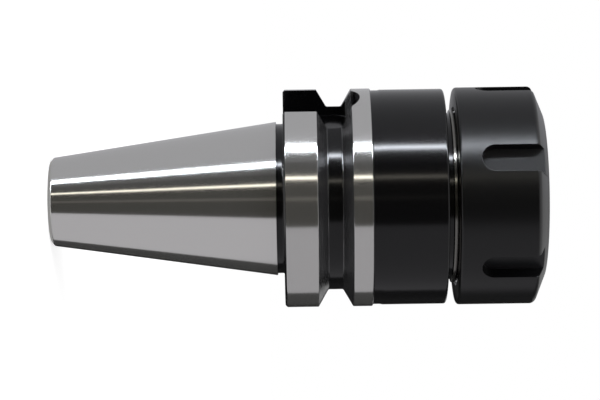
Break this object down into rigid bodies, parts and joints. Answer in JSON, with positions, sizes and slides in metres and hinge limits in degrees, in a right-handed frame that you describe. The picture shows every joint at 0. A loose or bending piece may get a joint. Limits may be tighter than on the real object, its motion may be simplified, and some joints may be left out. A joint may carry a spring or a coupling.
{
  "type": "collet chuck holder",
  "caption": "Steep-taper tool holder with a gripper groove, drive keyways, a slotted clamping nut and a spring collet.",
  "frame": {"origin": "on the axis at the gauge plane, 2 mm under the flange face", "axes": "+Z along the axis to the nut; the drive keyways face +X and -X; stands on the taper's small end"},
  "size_m": [0.063, 0.063, 0.1419],
  "materials": {
    "ground_steel": "ground bright on taper and rims, black oxide on the body",
    "collet_steel": "fine ground",
    "black_oxide": "black oxide, satin"
  },
  "bodies": {
    "holder": {"holder_body": "ground_steel"},
    "collet": {"spring_collet": "collet_steel"},
    "nut": {"clamping_nut": "black_oxide"}
  },
  "joints": [
    {"name": "collet_slide", "type": "slide", "parent": "holder", "child": "collet", "axis": [0, 0, 1], "range_m": [0, 0.012]},
    {"name": "nut_turn", "type": "hinge", "parent": "collet", "child": "nut", "pos_m": [0, 0, 0.06425], "axis": [0, 0, 1], "range_deg": [0, 2880]}
  ],
  "couplings": [
    {"joint": "collet_slide", "follows": "nut_turn", "m_per_rad": 0.00023873}
  ]
}
